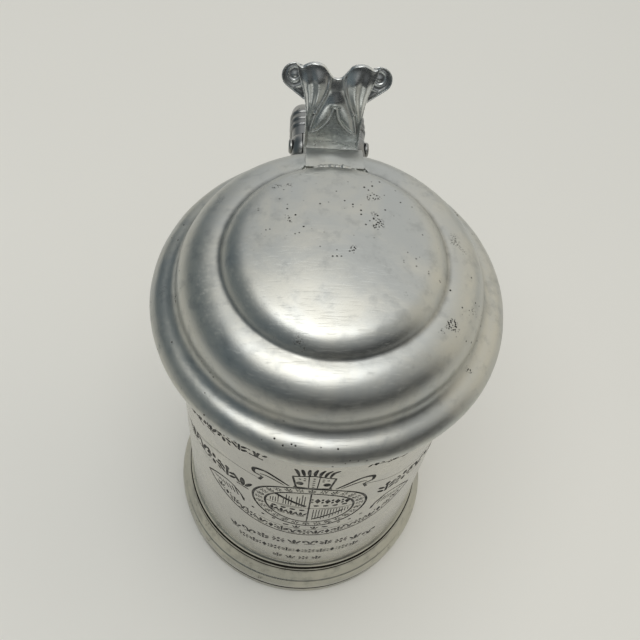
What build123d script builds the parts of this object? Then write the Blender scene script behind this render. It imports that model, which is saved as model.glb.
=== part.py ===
from build123d import *
from math import asin, cos, sin, sqrt
import os

# A lidded quart tankard in pewter, in millimetres. +Z is up, the origin is the centre of the
# foot's resting face, the handle stands at +Y and the engraved front faces -Y.

# Driving dimensions: the body
drum_mouth_radius = 48.5
drum_root_radius = 50.5
drum_wall = 2.0
drum_bottom = 6.0
drum_top = 169.8
groove_height = 31.4
foot_radius = 56.2
foot_swell_radius = 56.7
foot_rest_inner_radius = 47.5
foot_joint_height = 17.4
floor_bottom = 9.5
floor_thickness = 2.0
lip_height = 6.0
lip_swell = 2.8

# Driving dimensions: the lid. Heights on it are measured from the widest line of its rim.
lid_radius = 56.0
rim_height = 173.5
lid_wall = 1.4
rim_skirt = 2.2
hollow_depth = 12.0
crown_rise = 31.1
# Radius and rise, from the rim's lower edge to the shoulder, two points to each arc: the rim,
# the flange, the cove, the step and the shoulder.
lid_run = [
    (55.3, -rim_skirt),
    (lid_radius, 0.0),
    (54.9, 2.3),
    (53.2, 4.2),
    (50.6, 5.4),
    (48.4, 6.9),
    (47.1, 10.0),
    (43.5, 18.5),
    (33.6, 22.6),
    (30.84, 26.5),
    (26.5, 28.6),
]
seat_gap = 0.2
seat_thickness = rim_height - rim_skirt - drum_top - seat_gap
seat_radius = 54.6
collar_radius = 45.7
collar_wall = 1.7
collar_drop = 3.4

# Driving dimensions: the hinge
hinge_y = 61.3
hinge_z = 173.0
pin_radius = 1.5
pin_running_gap = 0.06
knuckle_radius = 4.6
knuckle_gap = 0.5
knuckle_neck = 2.6
knuckle_neck_rise = 3.8
tongue_half_width = 9.1
slot_half_width = 9.5
cheek_half_width = 13.0
pin_cap_radius = 2.6
pin_cap_height = 1.1
pin_cap_round = 0.9

# Driving dimensions: the thumbpiece
stem_front = 53.0
stem_thickness = 4.0
stem_base = 6.5
lobe_top = 40.6
notch_top = 36.0
lobe_lean = 6.6
stem_tip = 1.6
volute_x = 13.4
volute_y = 60.0
volute_height = 34.6
volute_radius = 4.2
volute_tilt = 28.0
volute_length = 4.4
volute_taper = 22.0
volute_tail = (9.2, 27.0)
volute_tail_radius = 0.8

# Driving dimensions: the handle
# The grip's back and belly run (y, z) from the hinge to the tail and back up to the drum.
back_points = [
    (65.7, 174.6),
    (79.5, 171.4),
    (92.5, 160.4),
    (98.6, 142.0),
    (95.5, 108.0),
    (80.5, 76.0),
    (69.2, 56.0),
    (66.6, 44.5),
    (73.0, 33.0),
]
belly_points = [
    (68.6, 27.6),
    (58.6, 37.6),
    (58.6, 56.0),
    (72.0, 80.4),
    (86.2, 110.0),
    (89.0, 141.0),
    (83.0, 154.6),
    (71.0, 160.8),
    (60.0, 157.0),
    (48.0, 149.0),
]
front_points = [(13.0, 150.0), (10.6, 95.0), (7.6, 50.0), (6.6, 20.0)]
tail_end = (73.2, 28.2)
handle_wall = 1.8
back_edge_radius = 2.0
joint_y = 74.0
bracket_low = 140.0
bracket_top = 168.9
bracket_above = 190.0
reed_places = (71.6, 75.0, 79.4)
reed_width = 1.8
band_proud = 0.8
pad_thickness = 1.5
pad_corner = 3.0
upper_pad_half_width = 14.0
upper_pad_low = 146.0
upper_pad_high = 163.2
lower_pad_half_width = 9.0
lower_pad_low = 42.0
lower_pad_high = 58.0
strut_half_width = 5.5
strut_low = 45.0
strut_high = 55.0
strut_reach = 63.0
tail_boss_centre = (71.0, 30.6)
tail_boss_radius = 5.2
tail_boss_half_width = 8.0
tail_boss_round = 1.6

reach = 150.0
os.makedirs("parts", exist_ok=True)


def drum_radius(height):
    """Outer radius of the tapered drum at a height above the rest face."""
    rise = (height - groove_height) / (drum_top - groove_height)
    return drum_root_radius + (drum_mouth_radius - drum_root_radius) * rise


def at_rim(radius, rise):
    """A profile point on the lid, from its radius and its rise above the rim line."""
    return (radius, rim_height + rise)


def save(piece, name):
    piece.part.label = name
    export_step(piece.part, f"parts/{name}.step")


def drum_ring(inner, outer, low, high):
    """Outline of a band that follows the drum's taper, offset inwards and outwards."""
    Polyline(
        (drum_radius(low) + inner, low),
        (drum_radius(low) + outer, low),
        (drum_radius(high) + outer, high),
        (drum_radius(high) + inner, high),
        close=True,
    )


def shifted(points, inset):
    """The same run of points, each moved square to the run by the inset, to its right."""
    moved = []
    for index, (across, up) in enumerate(points):
        before = points[max(index - 1, 0)]
        after = points[min(index + 1, len(points) - 1)]
        along = Vector(after[0] - before[0], after[1] - before[1]).normalized()
        moved.append((across + along.Y * inset, up - along.X * inset))
    return moved


def lid_outline(inset, floor_rise):
    """Closed half-section of the lid's solid form, drawn in by the inset, down to a floor."""
    run = shifted(lid_run, -inset)
    for start in range(0, len(run) - 2, 2):
        ThreePointArc(*[at_rim(*point) for point in run[start : start + 3]])
    edge_radius, edge_rise = run[-1]
    top_rise = crown_rise - inset
    drop = top_rise - edge_rise
    crown_radius = (edge_radius**2 + drop**2) / (2 * drop)
    half_angle = asin(edge_radius / crown_radius) / 2
    middle = (crown_radius * sin(half_angle), top_rise - crown_radius * (1 - cos(half_angle)))
    ThreePointArc(at_rim(*run[-1]), at_rim(*middle), at_rim(0, top_rise))
    Polyline(at_rim(0, top_rise), at_rim(0, floor_rise), at_rim(run[0][0], floor_rise))
    if floor_rise < run[0][1]:
        Line(at_rim(run[0][0], floor_rise), at_rim(*run[0]))


# The body: a tapered drum standing in a two-part foot, with a soldered floor and a lip band.

with BuildPart() as drum:
    with BuildSketch(Plane.XZ):
        with BuildLine():
            drum_ring(-drum_wall, 0, drum_bottom, drum_top)
        make_face()
    revolve(axis=Axis.Z)
save(drum, "drum")

with BuildPart() as floor_disc:
    with BuildSketch(Plane.XZ):
        with BuildLine():
            Polyline(
                (0, floor_bottom),
                (drum_radius(floor_bottom) - drum_wall, floor_bottom),
                (drum_radius(floor_bottom + floor_thickness) - drum_wall, floor_bottom + floor_thickness),
                (0, floor_bottom + floor_thickness),
                close=True,
            )
        make_face()
    revolve(axis=Axis.Z)
save(floor_disc, "floor_disc")

with BuildPart() as lip_band:
    with BuildSketch(Plane.XZ):
        with BuildLine():
            low = drum_top - lip_height
            inner = Line((drum_radius(low), low), (drum_radius(drum_top), drum_top))
            top = Line(inner @ 1, (drum_radius(drum_top) + 1.6, drum_top))
            swell = ThreePointArc(
                top @ 1,
                (drum_mouth_radius + lip_swell, drum_top - 2.4),
                (drum_radius(low) + 1.2, low + 1.2),
            )
            Polyline(swell @ 1, (drum_radius(low), low + 0.6), inner @ 0)
        make_face()
    revolve(axis=Axis.Z)
save(lip_band, "lip_band")

with BuildPart() as foot_ring:
    with BuildSketch(Plane.XZ):
        with BuildLine():
            inside = Polyline(
                (drum_radius(foot_joint_height), foot_joint_height),
                (drum_radius(drum_bottom), drum_bottom),
                (foot_rest_inner_radius, drum_bottom),
                (foot_rest_inner_radius, 0),
                (foot_radius - 0.9, 0),
                (foot_radius, 1.0),
                (foot_radius, 6.6),
                (foot_radius - 0.5, 7.1),
                (foot_radius - 0.1, 7.7),
            )
            torus = ThreePointArc(
                inside @ 1,
                (foot_swell_radius, 12.4),
                (foot_radius - 1.0, foot_joint_height - 0.4),
            )
            Polyline(
                torus @ 1,
                (foot_radius - 1.6, foot_joint_height),
                inside @ 0,
            )
        make_face()
    revolve(axis=Axis.Z)
save(foot_ring, "foot_ring")

with BuildPart() as foot_moulding:
    with BuildSketch(Plane.XZ):
        with BuildLine():
            seam = Polyline(
                (drum_radius(groove_height), groove_height),
                (drum_radius(foot_joint_height), foot_joint_height),
                (foot_radius - 1.6, foot_joint_height),
                (foot_radius - 1.2, foot_joint_height + 0.6),
            )
            slope = Spline(
                seam @ 1,
                (53.6, 21.4),
                (52.3, 25.3),
                tangents=[(-0.75, 1.0), (-0.1, 1.0)],
            )
            lower_reed = ThreePointArc(slope @ 1, (52.2, 27.0), (51.3, 28.3))
            upper_reed = ThreePointArc(lower_reed @ 1, (51.6, 29.9), (50.9, 31.0))
            Line(upper_reed @ 1, seam @ 0)
        make_face()
    revolve(axis=Axis.Z)
save(foot_moulding, "foot_moulding")

# The lid: a spun double dome, and under its flange a seat ring whose collar enters the mouth.

with BuildPart() as lid_mass:
    with BuildSketch(Plane.XZ):
        with BuildLine():
            lid_outline(0, -rim_skirt)
        make_face()
    revolve(axis=Axis.Z)

with BuildPart() as lid_shell:
    add(lid_mass.part)
    with BuildSketch(Plane.XZ):
        with BuildLine():
            lid_outline(lid_wall, -hollow_depth)
        make_face()
    revolve(axis=Axis.Z, mode=Mode.SUBTRACT)
save(lid_shell, "lid_shell")

seat_bottom = drum_top + seat_gap
with BuildPart() as lid_seat:
    with BuildSketch(Plane.XZ):
        with BuildLine():
            Polyline(
                (collar_radius - collar_wall, seat_bottom + seat_thickness),
                (seat_radius, seat_bottom + seat_thickness),
                (seat_radius, seat_bottom + 0.3),
                (seat_radius - 0.3, seat_bottom),
                (collar_radius, seat_bottom),
                (collar_radius - 0.4, seat_bottom - collar_drop),
                (collar_radius - collar_wall, seat_bottom - collar_drop),
                close=True,
            )
        make_face()
    revolve(axis=Axis.Z)
save(lid_seat, "lid_seat")

# The hinge tongue: a strap soldered down the back of the lid, ending in the lid's knuckle.

with BuildPart() as hinge_tongue:
    with BuildSketch(Plane.YZ):
        with BuildLine():
            strap = Spline(
                at_rim(32.6, 24.3),
                at_rim(44.6, 18.9),
                at_rim(stem_front - 2.0, stem_base),
                tangents=[(1.0, -0.05), (0.5, -1.0)],
            )
            Polyline(
                strap @ 1,
                at_rim(stem_front + stem_thickness, stem_base),
                (hinge_y - knuckle_neck, hinge_z + knuckle_neck_rise),
                (hinge_y, hinge_z),
                at_rim(lid_radius - 3.0, -1.0),
                at_rim(32.6, 18.0),
                strap @ 0,
            )
        make_face()
        with Locations((hinge_y, hinge_z)):
            Circle(knuckle_radius)
            Circle(pin_radius + pin_running_gap, mode=Mode.SUBTRACT)
    extrude(amount=tongue_half_width, both=True)
    add(lid_mass.part, mode=Mode.SUBTRACT)
save(hinge_tongue, "hinge_tongue")

# The thumbpiece: a leaning plate, flared into two lobes that roll outwards into volutes.

with BuildPart() as thumbpiece:
    with BuildSketch(Plane.YZ):
        with BuildLine():
            front = Spline(
                at_rim(stem_front, stem_base),
                at_rim(stem_front + 2.0, stem_base + 13.0),
                at_rim(stem_front + lobe_lean, lobe_top),
                tangents=[(0.0, 1.0), (0.5, 1.0)],
            )
            back = Spline(
                at_rim(stem_front + lobe_lean + stem_tip, lobe_top),
                at_rim(stem_front + 5.6, stem_base + 13.0),
                at_rim(stem_front + stem_thickness, stem_base),
                tangents=[(-0.5, -1.0), (0.0, -1.0)],
            )
            Line(front @ 1, back @ 0)
            Line(back @ 1, front @ 0)
        make_face()
    extrude(amount=volute_x, both=True)
    with BuildSketch(Plane.XZ) as front_view:
        with BuildLine():
            side = Spline(
                at_rim(tongue_half_width, stem_base),
                at_rim(tongue_half_width + 0.1, 20.0),
                at_rim(10.6, 31.0),
                at_rim(volute_x, lobe_top - 0.4),
                tangents=[(0.0, 1.0), (0.5, 0.7)],
            )
            lobe = Spline(
                side @ 1,
                at_rim(10.6, lobe_top - 1.0),
                at_rim(7.2, lobe_top),
                at_rim(0, notch_top),
                tangents=[(-1.0, -0.5), (-1.0, -0.4)],
            )
            Polyline(lobe @ 1, at_rim(0, stem_base), side @ 0)
        make_face()
        mirror(about=Plane.YZ)
    extrude(amount=reach, both=True, mode=Mode.INTERSECT)
    for hand in (-1, 1):
        face_centre = (hand * volute_x, volute_y, rim_height + volute_height)
        facing = Vector(0, -1, 0).rotate(Axis.X, -volute_tilt)
        with BuildSketch(Plane(origin=face_centre, x_dir=(1, 0, 0), z_dir=facing)):
            Circle(volute_radius)
            with Locations((hand * (volute_tail[0] - volute_x), volute_tail[1] - volute_height)):
                Circle(volute_tail_radius)
            make_hull()
        extrude(amount=-volute_length, taper=volute_taper)
save(thumbpiece, "thumbpiece")

# The handle: one side view shared by the solid hinge bracket and the hollow grip behind it.


def handle_side_view(inset=0.0):
    """Side view of the bracket and grip in one closed outline, drawn in by the inset."""
    back_curve = Spline(*shifted(back_points, inset))
    belly_start = shifted(belly_points, inset)[0]
    tail_tip = (tail_end[0] - inset / sqrt(2), tail_end[1] + inset / sqrt(2))
    ThreePointArc(back_curve @ 1, tail_tip, belly_start)
    belly_curve = Spline(*shifted(belly_points, inset))
    Polyline(
        belly_curve @ 1,
        (48.0, upper_pad_high - 0.6),
        (52.4, upper_pad_high - 0.6),
        (53.4, bracket_top),
        (hinge_y - 3.2, bracket_top),
        (hinge_y, hinge_z),
        back_curve @ 0,
    )


def handle_front_view(inset=0.0):
    """The handle seen from the front, narrowing downwards from the bracket's width."""
    side = [(x - inset, z) for x, z in front_points]
    right = Spline(*side)
    left = Spline(*[(-x, z) for x, z in reversed(side)])
    shoulder = cheek_half_width - inset
    Line(right @ 1, left @ 0)
    Polyline(left @ 1, (-shoulder, bracket_above), (shoulder, bracket_above), right @ 0)


with BuildPart() as handle_mass:
    with BuildSketch(Plane.YZ.offset(-cheek_half_width)):
        with BuildLine():
            handle_side_view()
        make_face()
    extrude(amount=2 * cheek_half_width)
    with BuildSketch(Plane.XZ.offset(-reach)):
        with BuildLine():
            handle_front_view()
        make_face()
    extrude(amount=reach, mode=Mode.INTERSECT)
    fillet(handle_mass.edges().sort_by(Edge.length)[-2:], back_edge_radius)

with BuildPart() as handle_core:
    with BuildSketch(Plane.YZ.offset(-cheek_half_width)):
        with BuildLine():
            handle_side_view(handle_wall)
        make_face()
    extrude(amount=2 * cheek_half_width)
    with BuildSketch(Plane.XZ.offset(-reach)):
        with BuildLine():
            handle_front_view(handle_wall)
        make_face()
    extrude(amount=reach, mode=Mode.INTERSECT)

with BuildPart() as bracket_zone:
    with BuildSketch(Plane.XY.offset(bracket_low)):
        with Locations((0, joint_y / 2)):
            Rectangle(2 * reach, joint_y)
    extrude(amount=reach)

with BuildPart() as drum_mass:
    with BuildSketch(Plane.XZ):
        with BuildLine():
            Polyline(
                (0, drum_bottom),
                (drum_radius(drum_bottom), drum_bottom),
                (drum_radius(drum_top), drum_top),
                (0, drum_top),
                close=True,
            )
        make_face()
    revolve(axis=Axis.Z)

with BuildPart() as padded_mass:
    with BuildSketch(Plane.XZ):
        with BuildLine():
            Polyline(
                (0, drum_bottom),
                (drum_radius(drum_bottom) + pad_thickness, drum_bottom),
                (drum_radius(drum_top) + pad_thickness, drum_top),
                (0, drum_top),
                close=True,
            )
        make_face()
    revolve(axis=Axis.Z)


def make_pad(half_width, low, high):
    """A thin mounting plate, curved to the drum, centred behind it."""
    with BuildPart() as pad:
        with BuildSketch(Plane.XZ):
            with Locations((0, (low + high) / 2)):
                RectangleRounded(2 * half_width, high - low, pad_corner)
        extrude(amount=-reach)
        add(padded_mass.part, mode=Mode.INTERSECT)
        add(drum_mass.part, mode=Mode.SUBTRACT)
    return pad


upper_plate = make_pad(upper_pad_half_width, upper_pad_low, upper_pad_high)
save(upper_plate, "upper_handle_plate")

lower_plate = make_pad(lower_pad_half_width, lower_pad_low, lower_pad_high)
save(lower_plate, "lower_handle_plate")

with BuildPart() as hinge_bracket:
    add(handle_mass.part)
    add(bracket_zone.part, mode=Mode.INTERSECT)
    with BuildSketch(Plane.YZ.offset(-cheek_half_width)):
        with Locations((hinge_y, hinge_z)):
            Circle(knuckle_radius)
    extrude(amount=2 * cheek_half_width)
    add(padded_mass.part, mode=Mode.SUBTRACT)
    with BuildSketch(Plane.YZ.offset(-slot_half_width)):
        with Locations((hinge_y, hinge_z)):
            Circle(knuckle_radius + knuckle_gap)
    extrude(amount=2 * slot_half_width, mode=Mode.SUBTRACT)
    with BuildSketch(Plane.YZ.offset(-cheek_half_width)):
        with Locations((hinge_y, hinge_z)):
            Circle(pin_radius)
    extrude(amount=2 * cheek_half_width, mode=Mode.SUBTRACT)
save(hinge_bracket, "hinge_bracket")

with BuildPart() as hinge_pin:
    with BuildSketch(Plane.YZ.offset(-cheek_half_width)):
        with Locations((hinge_y, hinge_z)):
            Circle(pin_radius)
    extrude(amount=2 * cheek_half_width)
save(hinge_pin, "hinge_pin")

for side, hand in (("left", -1), ("right", 1)):
    with BuildPart() as pin_cap:
        with BuildSketch(Plane.YZ.offset(hand * cheek_half_width)):
            with Locations((hinge_y, hinge_z)):
                Circle(pin_cap_radius)
        extrude(amount=hand * pin_cap_height)
        outer_edge = pin_cap.faces().sort_by(Axis.X)[-1 if hand > 0 else 0].edges()
        fillet(outer_edge, pin_cap_round)
    save(pin_cap, f"pin_cap_{side}")

with BuildPart() as tail_boss:
    with BuildSketch(Plane.YZ.offset(-tail_boss_half_width)):
        with Locations(tail_boss_centre):
            Circle(tail_boss_radius)
    extrude(amount=2 * tail_boss_half_width)
    fillet(tail_boss.edges().filter_by(GeomType.CIRCLE), tail_boss_round)
save(tail_boss, "tail_boss")

with BuildPart() as grip_mass:
    add(handle_mass.part)
    add(handle_core.part, mode=Mode.SUBTRACT)
    add(bracket_zone.part, mode=Mode.SUBTRACT)
    add(tail_boss.part, mode=Mode.SUBTRACT)

for side, hand in (("left", -1), ("right", 1)):
    with BuildPart() as grip_half:
        add(grip_mass.part)
        split(bisect_by=Plane.YZ, keep=Keep.TOP if hand > 0 else Keep.BOTTOM)
    save(grip_half, f"handle_half_{side}")

with BuildPart() as lower_strut:
    with BuildSketch(Plane.XZ):
        with Locations((0, (strut_low + strut_high) / 2)):
            RectangleRounded(2 * strut_half_width, strut_high - strut_low, strut_half_width / 3)
    extrude(amount=-strut_reach)
    add(padded_mass.part, mode=Mode.SUBTRACT)
    add(handle_mass.part, mode=Mode.SUBTRACT)
save(lower_strut, "lower_strut")

# The moulded band: three reeds across the handle's shoulder, over the bracket joint.

with BuildPart() as shoulder_band:
    with BuildSketch(Plane.YZ.offset(-cheek_half_width - band_proud / 2)):
        with BuildLine():
            handle_side_view(-band_proud)
        make_face()
    extrude(amount=2 * cheek_half_width + band_proud)
    with BuildSketch(Plane.XY.offset(bracket_low)):
        with Locations(*[(0, y) for y in reed_places]):
            Rectangle(reach, reed_width)
    extrude(amount=reach, mode=Mode.INTERSECT)
    add(handle_mass.part, mode=Mode.SUBTRACT)
save(shoulder_band, "shoulder_reeds")
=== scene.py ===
from math import acos, asin, atan2, cos, dist, exp, hypot, pi, radians, sin, sqrt

import bmesh
import bpy
import numpy as np
from mathutils import Matrix, Vector, noise
from mathutils.geometry import delaunay_2d_cdt


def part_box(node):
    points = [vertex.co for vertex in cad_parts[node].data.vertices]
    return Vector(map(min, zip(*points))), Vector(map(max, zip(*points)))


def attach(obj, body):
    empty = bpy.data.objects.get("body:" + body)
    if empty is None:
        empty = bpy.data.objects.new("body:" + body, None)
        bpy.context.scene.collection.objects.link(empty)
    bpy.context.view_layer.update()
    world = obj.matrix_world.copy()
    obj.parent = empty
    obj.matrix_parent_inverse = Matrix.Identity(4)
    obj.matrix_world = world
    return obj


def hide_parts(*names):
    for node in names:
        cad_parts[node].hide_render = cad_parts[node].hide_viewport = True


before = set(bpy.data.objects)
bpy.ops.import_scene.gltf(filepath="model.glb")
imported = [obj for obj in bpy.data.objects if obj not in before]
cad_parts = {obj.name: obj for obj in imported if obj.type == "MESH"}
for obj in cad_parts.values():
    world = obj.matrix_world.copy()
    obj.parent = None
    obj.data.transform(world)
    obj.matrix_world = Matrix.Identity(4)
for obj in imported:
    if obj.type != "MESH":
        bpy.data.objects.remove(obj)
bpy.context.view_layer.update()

# A lidded pewter tankard. Shapes are written in millimetres and made in metres. "Rise" is a
# height above the lid's rim line, and on the drum a place is an arc length and a height.

MM = 0.001
TAU = 2 * pi
TINY = 1e-6

lid_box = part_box("lid_shell")
drum_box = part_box("drum")
pin_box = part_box("hinge_pin")

rim_skirt = 2.2
rim_height = lid_box[0].z / MM + rim_skirt
lid_wall = 1.4
crown_rise = lid_box[1].z / MM - rim_height
drum_low = drum_box[0].z / MM
drum_high = drum_box[1].z / MM
drum_low_radius = drum_box[1].x / MM
drum_high_radius = 48.5
drum_wall = 2.0
hinge_y = (pin_box[0].y + pin_box[1].y) / 2 / MM
hinge_z = (pin_box[0].z + pin_box[1].z) / 2 / MM


# ---- outlines and meshes


def arc(start, through, end, steps):
    """Points on the circle through three points, from start to end, both included."""
    (ax, ay), (bx, by), (cx, cy) = start, through, end
    double_area = 2 * (ax * (by - cy) + bx * (cy - ay) + cx * (ay - by))
    a2, b2, c2 = ax * ax + ay * ay, bx * bx + by * by, cx * cx + cy * cy
    ox = (a2 * (by - cy) + b2 * (cy - ay) + c2 * (ay - by)) / double_area
    oy = (a2 * (cx - bx) + b2 * (ax - cx) + c2 * (bx - ax)) / double_area
    first = atan2(ay - oy, ax - ox)
    turn_through = (atan2(by - oy, bx - ox) - first) % TAU
    turn = (atan2(cy - oy, cx - ox) - first) % TAU
    if turn_through > turn:
        turn -= TAU
    radius = hypot(ax - ox, ay - oy)
    angles = [first + turn * step / steps for step in range(steps + 1)]
    return [(ox + radius * cos(angle), oy + radius * sin(angle)) for angle in angles]


def curve(points, steps=8):
    """A smooth open curve through the points, both ends included."""
    padded = [points[0], *points, points[-1]]
    made = []
    for before, start, end, after in zip(padded, padded[1:], padded[2:], padded[3:]):
        for step in range(steps):
            t = step / steps
            point = []
            for a, b, c, d in zip(before, start, end, after):
                square, cube = 2 * a - 5 * b + 4 * c - d, 3 * b - a - 3 * c + d
                point.append(0.5 * (2 * b + (c - a) * t + square * t * t + cube * t**3))
            made.append(tuple(point))
    return [*made, tuple(points[-1])]


def smooth_step(low, high, value):
    """0 below low, 1 above high and a soft ramp between them."""
    t = np.clip((np.asarray(value, dtype=float) - low) / (high - low), 0.0, 1.0)
    return t * t * (3 - 2 * t)


def heading_at(points, index):
    """The direction of a run of flat points at one of them."""
    before, after = points[max(index - 1, 0)], points[min(index + 1, len(points) - 1)]
    return Vector((after[0] - before[0], after[1] - before[1])).normalized()


def shifted(points, inset):
    """The same run of points, each moved square to the run by the inset, to its right."""
    moved = []
    for index, (across, up) in enumerate(points):
        along = heading_at(points, index)
        moved.append((across + along.y * inset, up - along.x * inset))
    return moved


def softened(points, spacing, reach):
    """The run of points respaced evenly and smoothed over a reach, with its ends kept."""
    lengths = np.concatenate([[0.0], np.cumsum(np.linalg.norm(np.diff(points, axis=0), axis=1))])
    count = int(lengths[-1] / spacing) + 1
    even = np.linspace(0.0, lengths[-1], count)
    line = np.stack([np.interp(even, lengths, np.asarray(points)[:, axis]) for axis in (0, 1)], axis=1)
    made = line.copy()
    for index in range(1, count - 1):
        span = min(reach, even[index], lengths[-1] - even[index])
        weight = np.exp(-(((even - even[index]) / max(span, TINY)) ** 2) * 2)
        made[index] = (line * weight[:, None]).sum(axis=0) / weight.sum()
    return [tuple(point) for point in made]


def in_scene(name, data):
    """A new object in the scene for a mesh, a light or a camera."""
    made = bpy.data.objects.new(name, data)
    bpy.context.scene.collection.objects.link(made)
    return made


def new_object(name, verts, faces, sharp_degrees=40):
    """A mesh object from millimetre points, smooth-shaded except at sharp edges."""
    mesh = bpy.data.meshes.new(name)
    mesh.from_pydata([Vector(point) * MM for point in verts], [], faces)
    mesh.validate()
    mesh.shade_smooth()
    mesh.set_sharp_from_angle(angle=radians(sharp_degrees))
    return in_scene(name, mesh)


def paint(piece, values):
    """Stores one number per vertex for the materials to read: how far to darken it, as tarnish and painted
    shade.
    """
    layer = piece.data.attributes.new("grime_and_shade", "FLOAT", "POINT")
    layer.data.foreach_set("value", np.asarray(values, dtype=np.float32))


def skin(rounds, sides, first=0, closed=False):
    """Quads that join rounds of vertices, where each round is a loop with the same sides."""
    faces = []
    for index in range(rounds if closed else rounds - 1):
        here, there = first + index * sides, first + (index + 1) % rounds * sides
        for step in range(sides):
            after = (step + 1) % sides
            faces.append((here + step, here + after, there + after, there + step))
    return faces


def grid_faces(columns, rows):
    """Quads over a flat grid of vertices, row by row."""
    wide = columns + 1
    firsts = [row * wide + column for row in range(rows) for column in range(columns)]
    return [(first, first + 1, first + wide + 1, first + wide) for first in firsts]


def paint_no_grime_or_shade(piece):
    """Marks no hollow anywhere, so no tarnish and no painted shade."""
    paint(piece, [0.0] * len(piece.data.vertices))


def paint_cavities(piece, strength, passes):
    """Marks hollow places for tarnish and painted shade: where a vertex lies behind the average of its
    neighbours.
    """

    def read(items, key, width, kind=float):
        values = np.empty(len(items) * width, dtype=kind)
        items.foreach_get(key, values)
        return values.reshape(-1, width)

    mesh = piece.data
    places = read(mesh.vertices, "co", 3) / MM
    normals = read(mesh.vertices, "normal", 3)
    edges = read(mesh.edges, "vertices", 2, int)
    first, second = edges.T
    links = np.bincount(edges.ravel(), minlength=len(places)).astype(float)[:, None]

    def averaged(values):
        total = np.zeros_like(values)
        np.add.at(total, first, values[second])
        np.add.at(total, second, values[first])
        return total / links

    soft = places
    for _ in range(passes):
        soft = averaged(soft)
    depth = ((soft - places) * normals).sum(axis=1, keepdims=True)
    hollow = np.clip(depth * strength, 0.0, 1.0)
    for _ in range(2):
        hollow = averaged(hollow)
    paint(piece, hollow[:, 0])


def lathe(name, outline, segments, wobble, sharp_degrees=40):
    """A turned piece from a closed outline of radius and height."""
    verts, faces, rings = [], [], []
    for radius, height in outline:
        if radius < TINY:
            rings.append([len(verts)])
            verts.append((0.0, 0.0, height))
            continue
        rings.append(list(range(len(verts), len(verts) + segments)))
        for step in range(segments):
            angle = TAU * step / segments
            verts.append((radius * cos(angle), radius * sin(angle), height))
    for low, high in zip(rings, rings[1:] + rings[:1]):
        if len(low) == 1 and len(high) == 1:
            continue
        for step in range(segments):
            after = (step + 1) % segments
            if len(low) == 1:
                faces.append((low[0], high[after], high[step]))
            elif len(high) == 1:
                faces.append((low[step], low[after], high[0]))
            else:
                faces.append((low[step], low[after], high[after], high[step]))
    return new_object(name, [wobbled(point, wobble) for point in verts], faces, sharp_degrees)


def wobbled(point, amount):
    """A point moved a little, as hand-finished metal strays from a true turned form."""
    place = Vector(point) / 21.0
    slow = noise.noise(place)
    quick = noise.noise(place * 3.1 + Vector((5.0, 2.0, 9.0))) * 0.35
    radius = max(hypot(point[0], point[1]), TINY)
    push = amount * (slow + quick) * min(1.0, radius / 8.0)
    lift = push * 0.6 * min(1.0, max(0.0, point[2] - 0.5) / 3.0)
    return (point[0] * (1 + push / radius), point[1] * (1 + push / radius), point[2] + lift)


def grooves(outline, reach):
    """How deep in a hollow each point of an anticlockwise outline lies, from 0 to 1."""
    deep = []
    count = len(outline)
    for index, here in enumerate(outline):
        before = np.subtract(here, outline[index - 1])
        after = np.subtract(outline[(index + 1) % count], here)
        turn = before[0] * after[1] - before[1] * after[0]
        size = max(np.linalg.norm(before) * np.linalg.norm(after), 1e-9)
        deep.append(max(0.0, -turn / size))
    spread = []
    for here in outline:
        near = [amount * exp(-(dist(here, there) / reach) ** 2) for amount, there in zip(deep, outline)]
        spread.append(min(1.0, sum(near) * 1.6))
    return spread


# ---- materials


def node(tree, kind, **settings):
    """A new shader node with its properties and unlinked inputs set."""
    made = tree.nodes.new(kind)
    for key, value in settings.items():
        if hasattr(made, key):
            setattr(made, key, value)
        else:
            made.inputs[key.replace("_", " ")].default_value = value
    return made


def mixed(tree, factor, first, second):
    """A colour mix of two colours or sockets by a factor socket."""
    mix = node(tree, "ShaderNodeMix", data_type="RGBA")
    tree.links.new(factor, mix.inputs["Factor"])
    for socket, value in ((mix.inputs[6], first), (mix.inputs[7], second)):
        if isinstance(value, tuple):
            socket.default_value = (*value, 1.0)
        else:
            tree.links.new(value, socket)
    return mix.outputs[2]


def ramp(tree, value, low, high, to_low=0.0, to_high=1.0):
    """A soft clamped remap of a socket."""
    remap = node(tree, "ShaderNodeMapRange", interpolation_type="SMOOTHSTEP")
    tree.links.new(value, remap.inputs["Value"])
    limits = {"From Min": low, "From Max": high, "To Min": to_low, "To Max": to_high}
    for name, number in limits.items():
        remap.inputs[name].default_value = number
    return remap.outputs["Result"]


def maths(tree, operation, first, second):
    """One math node on two sockets or numbers."""
    made = node(tree, "ShaderNodeMath", operation=operation)
    for index, value in enumerate((first, second)):
        if isinstance(value, (int, float)):
            made.inputs[index].default_value = value
        else:
            tree.links.new(value, made.inputs[index])
    return made.outputs[0]


def times(tree, first, second):
    """The product of two sockets or numbers."""
    return maths(tree, "MULTIPLY", first, second)


def texture(tree, place, kind, **settings):
    """A texture or mapping node that is read at the given place."""
    made = node(tree, kind, **settings)
    tree.links.new(place, made.inputs["Vector"])
    return made


def cloudy(tree, place, scale, detail, **settings):
    """The value of a noise texture."""
    kind = "ShaderNodeTexNoise"
    return texture(tree, place, kind, Scale=scale, Detail=detail, **settings).outputs["Fac"]


def stretched_noise(tree, place, turn, stretch, scale):
    """Noise drawn out along one direction, for scratches and turning lines."""
    mapping = texture(tree, place, "ShaderNodeMapping", Rotation=turn, Scale=stretch)
    return cloudy(tree, mapping.outputs["Vector"], scale, 3.0, Roughness=0.6)


def weighed(tree, *terms):
    """The sum of sockets, each times a number."""
    parts = [times(tree, socket, share) for socket, share in terms]
    made = parts[0]
    for part in parts[1:]:
        made = maths(tree, "ADD", made, part)
    return made


def new_material(name):
    """A material, its node tree, its shader and the object's own coordinates."""
    material = bpy.data.materials.new(name)
    material.use_nodes = True
    tree = material.node_tree
    place = node(tree, "ShaderNodeTexCoord").outputs["Object"]
    return material, tree, tree.nodes["Principled BSDF"], place


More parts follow.
